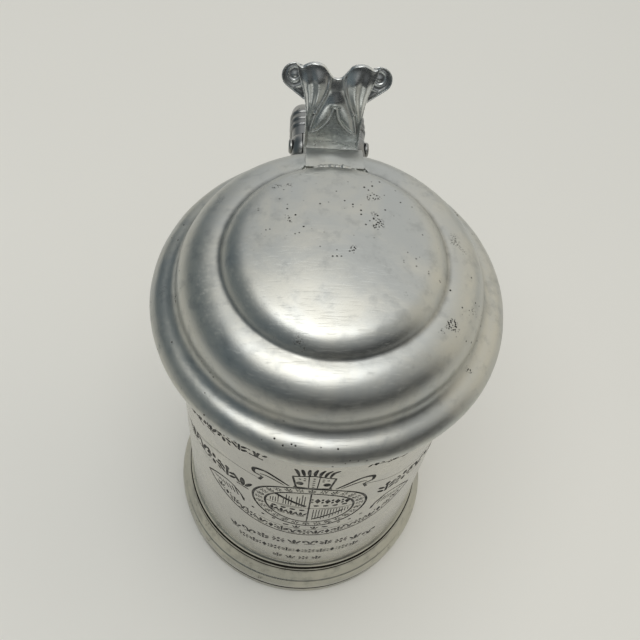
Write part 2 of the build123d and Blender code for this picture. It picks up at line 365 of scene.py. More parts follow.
def add_bump(tree, shader, height, strength, distance):
    """Sends a height to the shader as bump."""
    bump = node(tree, "ShaderNodeBump", Strength=strength, Distance=distance)
    tree.links.new(height, bump.inputs["Height"])
    tree.links.new(bump.outputs["Normal"], shader.inputs["Normal"])


def pitting(tree, place):
    """Round pits in patches, with tight clusters of finer flecks, from 0 to 1."""
    cell = texture(tree, place, "ShaderNodeTexVoronoi", Scale=830.0)
    lottery = node(tree, "ShaderNodeSeparateColor")
    tree.links.new(cell.outputs["Color"], lottery.inputs[0])
    chosen = maths(tree, "GREATER_THAN", lottery.outputs[0], 0.9)
    patch = cloudy(tree, place, 26.0, 2.0, noise_dimensions="4D", W=3.7)
    pit = times(tree, ramp(tree, cell.outputs["Distance"], 0.36, 0.16), chosen)
    pit = times(tree, pit, ramp(tree, patch, 0.5, 0.58))
    small = texture(tree, place, "ShaderNodeTexVoronoi", Scale=1500.0).outputs["Distance"]
    cluster = ramp(tree, cloudy(tree, place, 120.0, 1.0), 0.67, 0.73)
    fleck = times(tree, ramp(tree, small, 0.55, 0.3), cluster)
    fleck = times(tree, fleck, ramp(tree, patch, 0.42, 0.52))
    return maths(tree, "MAXIMUM", pit, fleck)


def pewter(name, tone, warm, dark, roughness, turned=0.0, scratches=0.5, pits=0.5, mottle=0.5,
           grime_and_shade=1.0, cast=0.0):
    """Worn pewter: mottled tone, tarnish and painted shade in the hollows, fine scratches, pits and
    turning lines.
    """
    material, tree, shader, place = new_material(name)
    shader.inputs["Metallic"].default_value = 1.0
    cloud = cloudy(tree, place, 32.0, 5.0, Roughness=0.62, Distortion=0.6)
    fine = cloudy(tree, place, 900.0, 3.0, Roughness=0.7)
    grain = cloudy(tree, place, 210.0, 4.0, Roughness=0.6)

    colour = mixed(tree, ramp(tree, cloud, 0.36, 0.64), tone, warm)
    stain = times(tree, ramp(tree, grain, 0.5, 0.72), mottle)
    colour = mixed(tree, stain, colour, tuple(c * 0.72 for c in tone))
    pit = times(tree, pitting(tree, place), pits)
    colour = mixed(tree, pit, colour, dark)
    # Hollows darken towards the dark colour: partly tarnish held there, partly painted shade.
    hollow = node(tree, "ShaderNodeAttribute", attribute_name="grime_and_shade").outputs["Fac"]
    ragged = times(tree, hollow, ramp(tree, grain, 0.2, 0.6, 0.65, 1.15))
    dirt_and_shade = times(tree, ramp(tree, ragged, 0.08, 0.75), grime_and_shade)
    colour = mixed(tree, dirt_and_shade, colour, dark)
    tree.links.new(colour, shader.inputs["Base Color"])

    across = stretched_noise(tree, place, (0.3, 0.2, 0.5), (1.0, 12.0, 12.0), 130.0)
    along = stretched_noise(tree, place, (0.1, -0.3, 2.1), (1.0, 11.0, 11.0), 150.0)
    rings = stretched_noise(tree, place, (0.0, 0.0, 0.0), (0.6, 0.6, 90.0), 30.0)
    marks = maths(tree, "ADD", ramp(tree, across, 0.55, 0.7), ramp(tree, along, 0.57, 0.72))
    marks = times(tree, marks, scratches)
    rough = ramp(tree, cloud, 0.3, 0.7, roughness * 0.86, roughness * 1.18)
    rough = maths(tree, "ADD", rough, weighed(tree, (marks, 0.1), (dirt_and_shade, 0.3), (pit, 0.3)))
    tree.links.new(rough, shader.inputs["Roughness"])

    relief = weighed(tree, (fine, 0.1 + cast * 0.3), (grain, 0.12 + cast), (marks, -0.18),
                     (rings, turned), (pit, -0.9))
    add_bump(tree, shader, relief, 0.35, 0.00012)
    return material


def filler(name):
    """The black that fills the engraving, rubbed thin in places."""
    material, tree, shader, place = new_material(name)
    worn = cloudy(tree, place, 420.0, 4.0)
    colour = mixed(tree, ramp(tree, worn, 0.42, 0.78), (0.012, 0.012, 0.011), (0.16, 0.155, 0.14))
    tree.links.new(colour, shader.inputs["Base Color"])
    shader.inputs["Metallic"].default_value = 0.35
    tree.links.new(ramp(tree, worn, 0.3, 0.7, 0.7, 0.5), shader.inputs["Roughness"])
    add_bump(tree, shader, worn, 0.4, 0.0001)
    return material


lid_metal = pewter("lid_metal", (0.50, 0.515, 0.505), (0.58, 0.575, 0.53), (0.035, 0.034, 0.032), 0.35,
                   turned=0.12, scratches=1.0, pits=1.0, mottle=0.5)
drum_metal = pewter("drum_metal", (0.49, 0.48, 0.445), (0.57, 0.555, 0.50), (0.03, 0.028, 0.025), 0.24,
                    turned=0.25, scratches=0.6, pits=0.35, mottle=0.3)
foot_metal = pewter("foot_metal", (0.42, 0.415, 0.365), (0.53, 0.515, 0.44), (0.03, 0.027, 0.022), 0.3,
                    turned=0.3, scratches=0.5, pits=0.6, mottle=0.6)
# A lighter copy of the pewter: painted light on the cast thumbpiece.
cast_metal_painted_light = pewter("cast_metal_painted_light", (0.64, 0.66, 0.66), (0.70, 0.705, 0.68), (0.02, 0.02, 0.022), 0.27,
                    scratches=0.5, pits=0.6, mottle=0.5, grime_and_shade=0.75, cast=0.4)
# A darker copy of the pewter: painted shade on the handle.
handle_metal_painted_shade = pewter("handle_metal_painted_shade", (0.26, 0.27, 0.28), (0.34, 0.34, 0.325), (0.02, 0.02, 0.02), 0.3,
                      scratches=0.8, pits=0.6, mottle=0.5, cast=0.25)
inner_metal = pewter("inner_metal", (0.40, 0.40, 0.38), (0.48, 0.47, 0.43), (0.04, 0.038, 0.033), 0.42,
                     turned=0.5, scratches=0.4, pits=0.5, mottle=0.8)
# A darker copy of the pewter: painted shade on the hinge pin and its caps.
pin_metal = pewter("pin_metal", (0.30, 0.305, 0.30), (0.38, 0.375, 0.355), (0.03, 0.03, 0.028), 0.32,
                   scratches=0.6, pits=0.4, mottle=0.4)
engraving_black = filler("engraving_black")


def finish_piece(piece, body, slot, replaced, *materials):
    """Gives a piece its materials and its body, and hides the node it stands for; the slot argument is not
    used.
    """
    for material in materials:
        piece.data.materials.append(material)
    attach(piece, body)
    if replaced:
        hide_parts(replaced)


# ---- the lid

lid_run = [
    (55.3, -rim_skirt),
    (56.0, 0.0),
    (54.9, 2.3),
    (53.2, 4.2),
    (50.6, 5.4),
    (48.4, 6.9),
    (47.1, 10.0),
    (43.5, 18.5),
    (33.6, 22.6),
    (30.84, 26.5),
    (26.5, 28.6),
]


def lid_profile(inset, steps):
    """The lid's half profile from the rim's lower edge to the axis, drawn in by the inset."""
    run = shifted(lid_run, -inset)
    points = []
    for start in range(0, len(run) - 2, 2):
        points += arc(*run[start : start + 3], steps)[:-1]
    edge_radius, edge_rise = run[-1]
    top_rise = crown_rise - inset
    drop = top_rise - edge_rise
    crown_radius = (edge_radius**2 + drop**2) / (2 * drop)
    half_angle = asin(edge_radius / crown_radius)
    for step in range(2 * steps + 1):
        angle = half_angle * (1 - step / (2 * steps))
        points.append((crown_radius * sin(angle), top_rise - crown_radius * (1 - cos(angle))))
    return [(radius, rim_height + rise) for radius, rise in points]


def make_lid():
    """The domed lid, its creases softened as hand burnishing leaves them."""
    segments, hollow_share = 256, 0.28
    outer = softened(lid_profile(0.0, 12), 0.55, 1.5)
    inner = softened(lid_profile(lid_wall, 6), 1.2, 1.5)
    outline = outer + inner[::-1]
    outline = [(0.0 if radius < TINY else radius, height) for radius, height in outline]
    lid = lathe("lid_dome", outline, segments, 0.16)
    # The lid's creases and cove are darkened: painted shade, with some tarnish held there.
    marks = []
    for (radius, _), depth in zip(outline, grooves(outline, 1.1)):
        marks += [depth * hollow_share] * (1 if radius < TINY else segments)
    paint(lid, marks)
    finish_piece(lid, "lid", "lid_pewter", "lid_shell", lid_metal)


# ---- the drum and its engraving

engraving_radius = 49.8
engraving_heading = radians(-92.2)
engraving_depth = 0.22


def stroke(points, width, taper=0.0):
    """A ribbon polygon along a line, in pieces, narrowed towards its ends by the taper share."""
    pieces, left, right = [], [], []
    last = len(points) - 1
    for index, (x, y) in enumerate(points):
        along = heading_at(points, index)
        ease = sin(pi * (index + 0.35) / (last + 0.7))
        half = width / 2 * (1 - taper + taper * ease)
        left.append((x - along.y * half, y + along.x * half))
        right.append((x + along.y * half, y - along.x * half))
    for index in range(last):
        pieces.append([right[index], right[index + 1], left[index + 1], left[index]])
    return pieces


def ellipse(cx, cy, rx, ry, count, turn=0.0):
    """A filled ellipse polygon."""
    made = []
    for step in range(count):
        angle = TAU * step / count
        made.append((rx * cos(angle), ry * sin(angle)))
    return placed([made], cx, cy, turn)


def leaves(size, corners, *rows):
    """Mirrored pairs of ellipses in shares of the size: x, y, half width, half height, turn."""
    made = []
    for side in (-1, 1):
        for x, y, rx, ry, turn in rows:
            made += ellipse(side * x * size, y * size, rx * size, ry * size, corners, side * turn)
    return made


def ring(cx, cy, radius, width, start=0.0, end=360.0, count=72):
    """A stroke round part of a circle."""
    angles = [radians(start + (end - start) * step / count) for step in range(count + 1)]
    return stroke([(cx + radius * cos(a), cy + radius * sin(a)) for a in angles], width)


def placed(pieces, x, y, turn=0.0):
    """Polygons turned and moved into place."""
    c, s = cos(turn), sin(turn)
    return [[(x + px * c - py * s, y + px * s + py * c) for px, py in piece] for piece in pieces]


def mirrored(pieces):
    """The same polygons reflected left to right."""
    return [[(-x, y) for x, y in reversed(piece)] for piece in pieces]


def palmette(size):
    """Three tall leaves over a broad base bar."""
    (foot_x, foot_y), (top_x, top_y) = (0.3 * size, -0.5 * size), (0.24 * size, -0.38 * size)
    made = [[(-foot_x, foot_y), (foot_x, foot_y), (top_x, top_y), (-top_x, top_y)]]
    made += ellipse(0, 0.06 * size, 0.12 * size, 0.42 * size, 10)
    return made + leaves(size, 10, (0.27, 0.02, 0.085, 0.36, -0.42))


def lozenge(size):
    """A tall diamond between two pairs of dots."""
    made = [[(0, -0.5 * size), (0.2 * size, 0), (0, 0.5 * size), (-0.2 * size, 0)]]
    return made + leaves(size, 8, (0.34, 0.24, 0.09, 0.13, 0), (0.34, -0.24, 0.09, 0.13, 0))


def scroll(size):
    """Two curls back to back over a bar."""
    half = [(0.05, -0.42), (0.08, -0.05), (0.2, 0.28), (0.4, 0.32), (0.44, 0.06), (0.28, -0.04)]
    one = stroke(curve([(x * size, y * size) for x, y in half], 4), 0.17 * size, 0.45)
    bar = stroke([(-0.34 * size, -0.45 * size), (0.34 * size, -0.45 * size)], 0.12 * size)
    return one + mirrored(one) + bar


def sprig(size):
    """A thick stem with two pairs of leaves."""
    made = stroke([(0, -0.5 * size), (0, 0.22 * size)], 0.13 * size)
    made += ellipse(0, 0.36 * size, 0.12 * size, 0.16 * size, 8)
    return made + leaves(size, 8, (0.25, 0.12, 0.09, 0.24, -0.7), (0.25, -0.24, 0.09, 0.24, -0.7))


def quatrefoil(size):
    """Four petals with a leaf between each pair."""
    made = ellipse(0, 0.3 * size, 0.11 * size, 0.2 * size, 8)
    made += ellipse(0, -0.3 * size, 0.11 * size, 0.2 * size, 8)
    return made + leaves(size, 8, (0.27, 0, 0.17, 0.12, 0), (0.3, 0.32, 0.07, 0.15, -0.6),
                         (0.3, -0.32, 0.07, 0.15, 0.6))


def along_arc(motifs, start, end, middle_lift, size, count):
    """Upright motifs set evenly along a shallow arch from start to end."""
    made = []
    for index in range(count):
        t = (index + 0.5) / count
        x = start[0] + (end[0] - start[0]) * t
        y = start[1] + (end[1] - start[1]) * t + middle_lift * 4 * t * (1 - t)
        made += placed(motifs[index % len(motifs)](size), x, y)
    return made


def medallion():
    """A belt of flowers round a quartered roundel with hatching, petals and bars."""
    cy, belt, quarter, hatched = 109.5, 18.6, 15.6, 15.2
    made = ring(0, cy, 21.0, 1.0) + ring(0, cy, 16.2, 0.9)
    for step in range(28):
        angle = TAU * step / 28
        flower = sprig(3.4) if step % 2 else quatrefoil(3.2)
        made += placed(flower, belt * cos(angle), cy + belt * sin(angle), angle - pi / 2)
    made += stroke([(0, cy - quarter), (0, cy + quarter)], 0.6)
    made += stroke([(-quarter, cy), (quarter, cy)], 0.5)
    for side, start, pitch, count, share, fall, width in (
        (1, -14.2, 0.95, 15, 0.94, 0.12, 0.36),
        (-1, 1.8, 1.05, 13, 0.9, 0.1, 0.34),
    ):
        for index in range(count):
            x = start + index * pitch
            tall = sqrt(max(0.0, hatched**2 - x * x)) * (share - fall * (index % 3))
            if side < 0 or index % 5 != 4:
                made += stroke([(x, cy + side * 1.2), (x, cy + side * tall)], width)
    for step in range(4):
        made += placed(lozenge(5.4), 2.6 + 3.6 * step, cy + 8.6 - 0.6 * step)
        made += ellipse(2.4 + 3.4 * step, cy + 3.2, 1.1, 0.9, 8)
        made += placed(palmette(5.2), -2.6 - 3.6 * step, cy - 7.8 + 0.6 * step)
        made += ellipse(-2.4 - 3.4 * step, cy - 2.9, 1.1, 0.9, 8)
    made += stroke(curve([(-12.6, cy + 10.2), (-7.0, cy + 6.0), (-1.2, cy + 1.8)], 5), 1.7)
    made += stroke(curve([(2.0, cy - 12.4), (7.5, cy - 7.8), (12.6, cy - 3.4)], 5), 1.1)
    for side in (-1, 1):
        made += placed(palmette(3.6), side * 3.4, 85.6) + ellipse(side * 7.4, 86.6, 1.3, 0.8, 8)
        for dot in range(4):
            made += ellipse(side * (12.4 + 4.2 * dot), 90.4 + 1.35 * dot * dot * 0.62, 0.7, 0.8, 7)
    return made


def crest():
    """A beaded basket of petals over a bar, between two curled tendrils."""
    made = stroke([(-6.6, 130.9), (6.6, 130.9)], 1.1)
    made += stroke([(-7.4, 140.8), (0, 143.4), (7.4, 140.8)], 1.0)
    for side in (-1, 1):
        made += stroke([(side * 5.8, 131.6), (side * 7.2, 140.6)], 0.8)
        made += ellipse(side * 4.6, 135.2, 1.3, 1.7, 10)
        made += stroke([(side * 1.5, 131.8), (side * 1.8, 142.2)], 0.45)
        for row in range(3):
            made += ellipse(side * (3.1 + 1.7 * (row % 2)), 138.4 + 0.9 * row, 0.55, 0.5, 6)
    for row in range(5):
        made += ellipse(0, 132.8 + row * 2.0, 0.55, 0.5, 6)
    for leaf in range(-3, 4):
        fall = 0.5 * abs(leaf)
        spine = [(leaf * 1.7, 143.6 - fall), (leaf * 2.0, 146.2), (leaf * 2.5 + 0.6, 149.4 - fall)]
        made += stroke(curve(spine, 4), 1.3, 0.6)
    tendril = [(8.0, 130.4), (12.2, 134.6), (16.6, 137.4), (20.6, 136.2), (20.8, 132.4), (18.0, 131.6)]
    second = [(9.6, 130.0), (13.2, 132.6), (16.4, 133.8), (18.6, 133.2)]
    half = stroke(curve(tendril, 6), 1.6, 0.55) + stroke(curve(second, 6), 0.9, 0.6)
    half += stroke([(17.6, 131.4), (18.8, 127.4)], 1.4, 0.5)
    return made + half + mirrored(half)


def banner():
    """A long crescent ribbon with leafy folded ends, filled with bold motifs."""
    centre_y, outer, inner = 128.4, 52.6, 45.2
    made = ring(0, centre_y, outer, 1.05, 216, 324, 80)
    made += ring(0, centre_y, inner, 0.35, 246, 294, 50)
    motifs = (quatrefoil, palmette, lozenge, sprig, scroll)
    for step in range(-9, 10):
        angle = radians(270 + step * 5.2)
        reach = (outer + inner) / 2
        x, y = reach * cos(angle), centre_y + reach * sin(angle)
        made += placed(motifs[step % len(motifs)](5.2 if abs(step) < 8 else 4.4), x, y)
    edge = radians(324)
    tip = (outer * cos(edge), centre_y + outer * sin(edge))
    top = curve([tip, (37.2, 103.4), (31.0, 105.6), (26.4, 101.2), (24.6, 95.4)], 6)
    fold = stroke(top, 1.0)
    for index in range(8):
        start = (27.2 + index * 1.5, 97.8 + index * 0.1)
        fold += stroke([start, (start[0] + 1.5, start[1] + 5.6 - index * 0.6)], 0.6)
    return made + fold + mirrored(fold)


def engraving():
    """Every cut of the front ornament, as polygons in arc length and height."""
    made = medallion() + crest() + banner()
    for band in (
        ((sprig, scroll, palmette, quatrefoil), (-56, 134), (-17, 151), 2.0, 7.6, 6),
        ((quatrefoil, palmette, scroll, sprig), (17, 151), (56, 134), 2.0, 7.6, 6),
        ((palmette, scroll, quatrefoil, sprig), (-56, 112), (-22, 115), 1.5, 9.4, 5),
        ((sprig, quatrefoil, scroll, palmette), (25, 115), (56, 112), 1.5, 9.4, 4),
        ((palmette, scroll, sprig, quatrefoil), (-32, 56), (32, 56), 8.5, 6.2, 10),
        ((quatrefoil, sprig, lozenge), (-27, 49.5), (25, 49.5), 2.4, 5.4, 11),
        ((sprig, palmette, quatrefoil), (-12, 40.6), (10, 40.6), 0, 5.0, 4),
    ):
        made += along_arc(*band)
    for lift, sway in ((124, 2.2), (142, 1.6)):
        line = []
        for step in range(61):
            x = -60 + 2 * step
            arch = (1 - (x / 60) ** 2) * 17 - 10
            line.append((x, lift + arch + sway * sin(x / 7.0)))
        made += stroke([point for point in line if point[0] < -17], 0.35)
        made += stroke([point for point in line if point[0] > 17], 0.35)
    return made


def sound(pieces):
    """The same polygons, counter-clockwise and convex; folded ones are split into triangles."""
    made = []
    for piece in pieces:
        count = len(piece)
        turns = []
        for index in range(count):
            a, b, c = piece[index - 1], piece[index], piece[(index + 1) % count]
            turns.append((b[0] - a[0]) * (c[1] - b[1]) - (b[1] - a[1]) * (c[0] - b[0]))
        if min(turns) > 1e-6:
            made.append(piece)
            continue
        for index in range(1, count - 1):
            a, b, c = piece[0], piece[index], piece[index + 1]
            area = (b[0] - a[0]) * (c[1] - a[1]) - (b[1] - a[1]) * (c[0] - a[0])
            if abs(area) > 1e-3:
                made.append([a, b, c] if area > 0 else [a, c, b])
    return made


def make_drum():
    """The drum, its ornament cut in as grooves with black floors."""
    skin_face, groove_floor, plain_side, inner_face = range(4)
    columns, rows = 144, 66
    half_turn = pi * engraving_radius
    grid = []
    for row in range(rows + 1):
        height = drum_low + (drum_high - drum_low) * row / rows
        grid += [(half_turn * (2 * column / columns - 1), height) for column in range(columns + 1)]
    flat = [Vector(point) for point in grid]
    cuts = []
    for piece in sound(engraving()):
        cuts.append(list(range(len(flat), len(flat) + len(piece))))
        flat += [Vector(point) for point in piece]
    points, _, faces, _, _, sources = delaunay_2d_cdt(flat, [], cuts, 0, 1e-4)

    keys, verts, normals = {}, [], []
    slope = (drum_low_radius - drum_high_radius) / (drum_high - drum_low)

    def wall_point(along, height, depth):
        angle = engraving_heading + along / engraving_radius
        radius = drum_low_radius - slope * (height - drum_low) - depth
        return (radius * cos(angle), radius * sin(angle), height)

    def wall_normal(along):
        angle = engraving_heading + along / engraving_radius
        return Vector((cos(angle), sin(angle), slope)).normalized()

    def vertex(place, depth):
        along = -half_turn if place[0] > half_turn - 1e-4 else place[0]
        key = (round(along, 4), round(place[1], 4), depth)
        if key not in keys:
            keys[key] = len(verts)
            verts.append(wall_point(along, place[1], depth))
            normals.append(wall_normal(along))
        return keys[key]

    made, kinds, edge_cut = [], [], {}
    for face, source in zip(faces, sources):
        cut = bool(source)
        depth = engraving_depth if cut else 0.0
        corners = [vertex(points[index], depth) for index in face]
        if len(set(corners)) < 3:
            continue
        made.append(corners)
        kinds.append(groove_floor if cut else skin_face)
        for a, b in zip(face, face[1:] + face[:1]):
            edge_cut.setdefault(frozenset((a, b)), []).append((cut, a, b))
    for sides in edge_cut.values():
        if len(sides) != 2 or sides[0][0] == sides[1][0]:
            continue
        _, a, b = sides[0] if sides[0][0] else sides[1]
        high_a, high_b = vertex(points[a], 0.0), vertex(points[b], 0.0)
        low_a, low_b = vertex(points[a], engraving_depth), vertex(points[b], engraving_depth)
        made.append([low_b, low_a, high_a, high_b])
        kinds.append(plain_side)

    inner = {}
    for row in (0, rows):
        height = drum_low + (drum_high - drum_low) * row / rows
        for column in range(columns):
            along = half_turn * (2 * column / columns - 1)
            inner[row, column] = len(verts)
            verts.append(wall_point(along, height, drum_wall))
            normals.append(-wall_normal(along))
    for column in range(columns):
        after, upper = (column + 1) % columns, rows * (columns + 1) + column
        low = [vertex(grid[column], 0.0), vertex(grid[column + 1], 0.0)]
        high = [vertex(grid[upper], 0.0), vertex(grid[upper + 1], 0.0)]
        made.append([inner[0, after], inner[0, column], inner[rows, column], inner[rows, after]])
        made.append([high[0], high[1], inner[rows, after], inner[rows, column]])
        made.append([low[1], low[0], inner[0, column], inner[0, after]])
        kinds += [inner_face, plain_side, plain_side]

    drum = new_object("engraved_drum", verts, made)
    mesh = drum.data
    loop_normals = []
    for polygon, kind in zip(mesh.polygons, kinds):
        for index in polygon.vertices:
            flat_side = kind == plain_side
            loop_normals.append(polygon.normal.copy() if flat_side else normals[index])
    mesh.normals_split_custom_set(loop_normals)
    paint_no_grime_or_shade(drum)
    finish_piece(drum, "vessel", "drum_pewter", "drum", drum_metal, engraving_black)
    for polygon, kind in zip(mesh.polygons, kinds):
        polygon.material_index = 1 if kind == groove_floor else 0


make_lid()
make_drum()

# ---- the foot

foot_radius = 56.2
foot_swell_radius = 56.62
foot_rest_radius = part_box("foot_ring")[0].z / MM + 47.5
foot_joint_height = 17.4
groove_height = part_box("foot_moulding")[1].z / MM


def drum_radius(height):
    """Outer radius of the tapered drum."""
    share = (height - drum_low) / (drum_high - drum_low)
    return drum_low_radius + (drum_high_radius - drum_low_radius) * share


def make_turned(name, outside, inside, node_name, slot, metal, grime_and_shade):
    """A turned ring: a softened outside run, upwards, closed by square inside corners."""
    outline = softened(outside, 0.28, 0.42) + inside
    segments = 224
    piece = lathe(name, outline, segments, 0.07, 50)
    # Grooves darken: tarnish held in them and painted shade.
    marks = []
    for depth in grooves(outline, 0.8):
        marks += [min(1.0, depth * grime_and_shade)] * segments
    paint(piece, marks)
    finish_piece(piece, "vessel", slot, node_name, metal)


def make_foot():
    """The base ring and the reeded moulding above it."""
    joint = (drum_radius(foot_joint_height), foot_joint_height)
    run = [(55.2, 0.0), (56.0, 0.5), (foot_radius, 1.4), (foot_radius, 6.4), (55.5, 6.9), (55.45, 7.3)]
    run += arc((56.1, 7.8), (foot_swell_radius, 12.2), (55.2, 16.6), 12)
    run += [(54.5, 17.0), (53.6, foot_joint_height)]
    inside = [joint, (drum_low_radius, drum_low), (foot_rest_radius, drum_low), (foot_rest_radius, 0.0)]
    make_turned("turned_foot", run, inside, "foot_ring", "foot_pewter", foot_metal, 1.8)

    top = (drum_radius(groove_height), groove_height)
    slope = [(53.6, foot_joint_height), (54.6, 17.8), (55.1, 18.4), (54.6, 19.4), (53.6, 21.4)]
    slope = curve([*slope, (52.7, 23.6), (52.2, 25.3)], 5)
    slope += [(51.9, 25.6), *arc((52.3, 25.9), (52.45, 26.9), (51.7, 27.9), 8), (51.1, 28.3)]
    slope += [*arc((51.5, 28.6), (51.7, 29.7), (51.1, 30.8), 8), (top[0] + 0.05, groove_height)]
    make_turned("turned_moulding", slope, [top, joint], "foot_moulding", "foot_pewter", foot_metal, 1.7)


def make_lip():
    """The moulded band round the mouth."""
    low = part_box("lip_band")[0].z / MM
    base = drum_radius(low)
    run = [(base + 0.05, low), (base + 0.7, low + 0.5)]
    swell = (drum_high_radius + 2.8, drum_high - 2.4)
    run += arc((base + 1.2, low + 1.2), swell, (drum_high_radius + 1.6, drum_high), 12)
    inside = [(drum_high_radius, drum_high), (base, low)]
    make_turned("turned_lip", run, inside, "lip_band", "body_pewter", drum_metal, 0.8)


# ---- the thumbpiece

thumb_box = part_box("thumbpiece")
stem_front = thumb_box[0].y / MM
stem_base = thumb_box[0].z / MM - rim_height
lobe_top = thumb_box[1].z / MM - rim_height
volute_radius = 4.2
volute_x = thumb_box[1].x / MM - volute_radius
volute_y = 60.0
volute_rise = 34.6
volute_tilt = radians(28.0)
volute_length = 4.4
volute_tail = (9.3, 26.4)
stem_edge = [(stem_base, 9.1), (14, 9.1), (20, 9.2), (26, 9.6), (31, 10.4), (36, 11.9), (lobe_top, 13.3)]
crown_edge = [(0, 35.4), (1.4, 35.8), (2.7, 37.4), (4.6, 39.7), (7.2, 40.5), (9.4, 40.0)]
crown_edge += [(11.2, 39.0), (12.4, 39.3), (13.4, 40.2)]
lobe_edge = [(6.2, 24.0), (5.4, 26.0), (4.3, 28.6), (3.3, 31.4), (2.6, 34.2), (2.4, 36.6), (2.9, 38.6)]
lobe_profile = [(0, 0.75), (0.12, 1.05), (0.36, 1.7), (0.57, 1.05), (0.74, 1.3), (0.9, 0.55), (1, 0.45)]
leaf_edge = [(0.0, 25.8), (0.35, 23.6), (1.4, 20.6), (3.3, 18.0), (5.5, 16.1), (7.9, 15.2)]
leaf_back = [(7.9, 15.2), (7.9, 17.5), (7.4, 20.0), (6.9, 22.2), (6.2, 24.0)]


def signed_distance(x, y, outline):
    """Distance from points to a closed outline, positive inside it."""
    nearest = np.full(x.shape, 1e9)
    inside = np.zeros(x.shape, dtype=bool)
    for (ax, ay), (bx, by) in zip(outline, outline[1:] + outline[:1]):
        dx, dy = bx - ax, by - ay
        length = dx * dx + dy * dy
        if length < 1e-12:
            continue
        t = np.clip(((x - ax) * dx + (y - ay) * dy) / length, 0.0, 1.0)
        nearest = np.minimum(nearest, np.hypot(x - ax - t * dx, y - ay - t * dy))
        if ay != by:
            crosses = ((ay > y) != (by > y)) & (x < ax + (y - ay) * dx / dy)
            inside ^= crosses
    return np.where(inside, nearest, -nearest)


def lean(rise):
    """How far back the stem's front face lies at a rise."""
    above = rise - stem_base
    return stem_front + 0.1294 * above + 0.00188 * above * above


def thumb_relief(x, rise, half_width):
    """Height of the cast ornament on the stem's front: leaves, lobes, edge wires and beads."""
    reach = np.abs(x)
    right = curve(leaf_edge, 6) + curve(leaf_back, 6)[1:] + curve(lobe_edge, 6)[1:]
    outline = right + [(-px, py) for px, py in reversed(right[1:])]
    depth = signed_distance(x, rise, outline)
    leaf = 1.1 * smooth_step(0.0, 0.4, depth)
    leaf = leaf - 0.3 * np.exp(-(((depth - 1.0) / 0.45) ** 2)) + 0.25 * smooth_step(1.1, 2.8, depth)
    channel = smooth_step(27.5, 32.0, rise)
    spine = smooth_step(0.0, 0.3, depth) * (0.5 + 0.3 * np.exp(-((x / 1.6) ** 2)))
    leaf = leaf * (1 - channel) + channel * spine
    leaf = leaf + 0.75 * np.exp(-((x / 1.5) ** 2) - ((rise - 27.4) / 2.6) ** 2)

    edge_x, edge_rise = np.array(curve([(7.4, 20.0), *lobe_edge], 6)).T
    inner = np.interp(rise, edge_rise, edge_x)
    share = np.clip((reach - inner) / np.maximum(half_width - inner, 0.1), 0.0, 1.0)
    stations = np.linspace(0, 1, 81)
    rough_lobe = np.interp(stations, *np.array(lobe_profile).T)
    kernel = np.exp(-np.linspace(-2, 2, 17) ** 2)
    lobe_line = np.convolve(np.pad(rough_lobe, 8, mode="edge"), kernel / kernel.sum(), mode="valid")
    lobe = 1.25 * np.interp(share, stations, lobe_line) * smooth_step(18.0, 29.0, rise)
    lobe = lobe * smooth_step(-0.15, 0.15, -depth)

    offset = np.abs(reach - inner) * 0.93
    along = smooth_step(23.2, 24.6, rise) * (1 - smooth_step(37.5, 40.0, rise))
    wire = (1.6 + 0.25 * channel) * np.exp(-((offset / 0.42) ** 2)) * along
    bead = 1.7 * np.exp(-(((reach - 6.2) / 0.85) ** 2) - ((rise - 24.0) / 1.0) ** 2)
    rim = 0.65 * np.exp(-(((half_width - reach) / 0.5) ** 2)) * smooth_step(8.0, 13.0, rise)
    return np.maximum.reduce([leaf, lobe, wire, bead, rim])


def thumb_plate():
    """The leaning plate as a closed mesh: a relief front, a plain hollowed back and thin sides."""
    across, up = 150, 150
    u, v = np.meshgrid(np.linspace(-1, 1, across + 1), np.linspace(0, 1, up + 1))
    edge_rise, edge_x = np.array(curve(stem_edge, 6)).T
    half_width = np.interp(stem_base + v * (lobe_top - stem_base), edge_rise, edge_x)
    top_x, top_rise = np.array(curve(crown_edge, 6)).T
    top = np.interp(np.abs(u) * 13.4, top_x, top_rise)
    rise = stem_base + v * (top - stem_base)
    x = u * half_width
    crest = smooth_step(0.0, 5.5, top - rise)
    front = lean(rise) - thumb_relief(x, rise, half_width) * (0.3 + 0.7 * crest)
    front = front - 3.6 * (np.clip((12.5 - rise) / 6.0, 0.0, 1.0) ** 2)
    lumps = [noise.noise(Vector((a / 1.3, b / 1.3, 4.0))) for a, b in zip(x.ravel(), rise.ravel())]
    front = front + 0.10 * np.array(lumps).reshape(x.shape) * smooth_step(24.0, 14.0, rise)
    front = front + (1 - crest) * 0.45 * smooth_step(28.0, 36.0, rise)
    deep = 3.6 - 2.3 * smooth_step(10.0, 38.0, rise)
    back = lean(rise) + 1.2 + (deep - 1.2) * crest
    verts = [(a, c, rim_height + b) for a, b, c in zip(x.ravel(), rise.ravel(), front.ravel())]
    verts += [(a, c, rim_height + b) for a, b, c in zip(x.ravel(), rise.ravel(), back.ravel())]
    row, half = across + 1, (across + 1) * (up + 1)
    faces = []
    for a, b, c, d in grid_faces(across, up):
        faces += [(a, b, c, d), (half + a, half + d, half + c, half + b)]
    border = list(range(across)) + [j * row + across for j in range(up)]
    border += [up * row + i for i in range(across, 0, -1)] + [j * row for j in range(up, 0, -1)]
    for a, b in zip(border, border[1:] + border[:1]):
        faces.append((b, a, half + a, half + b))
    return verts, faces


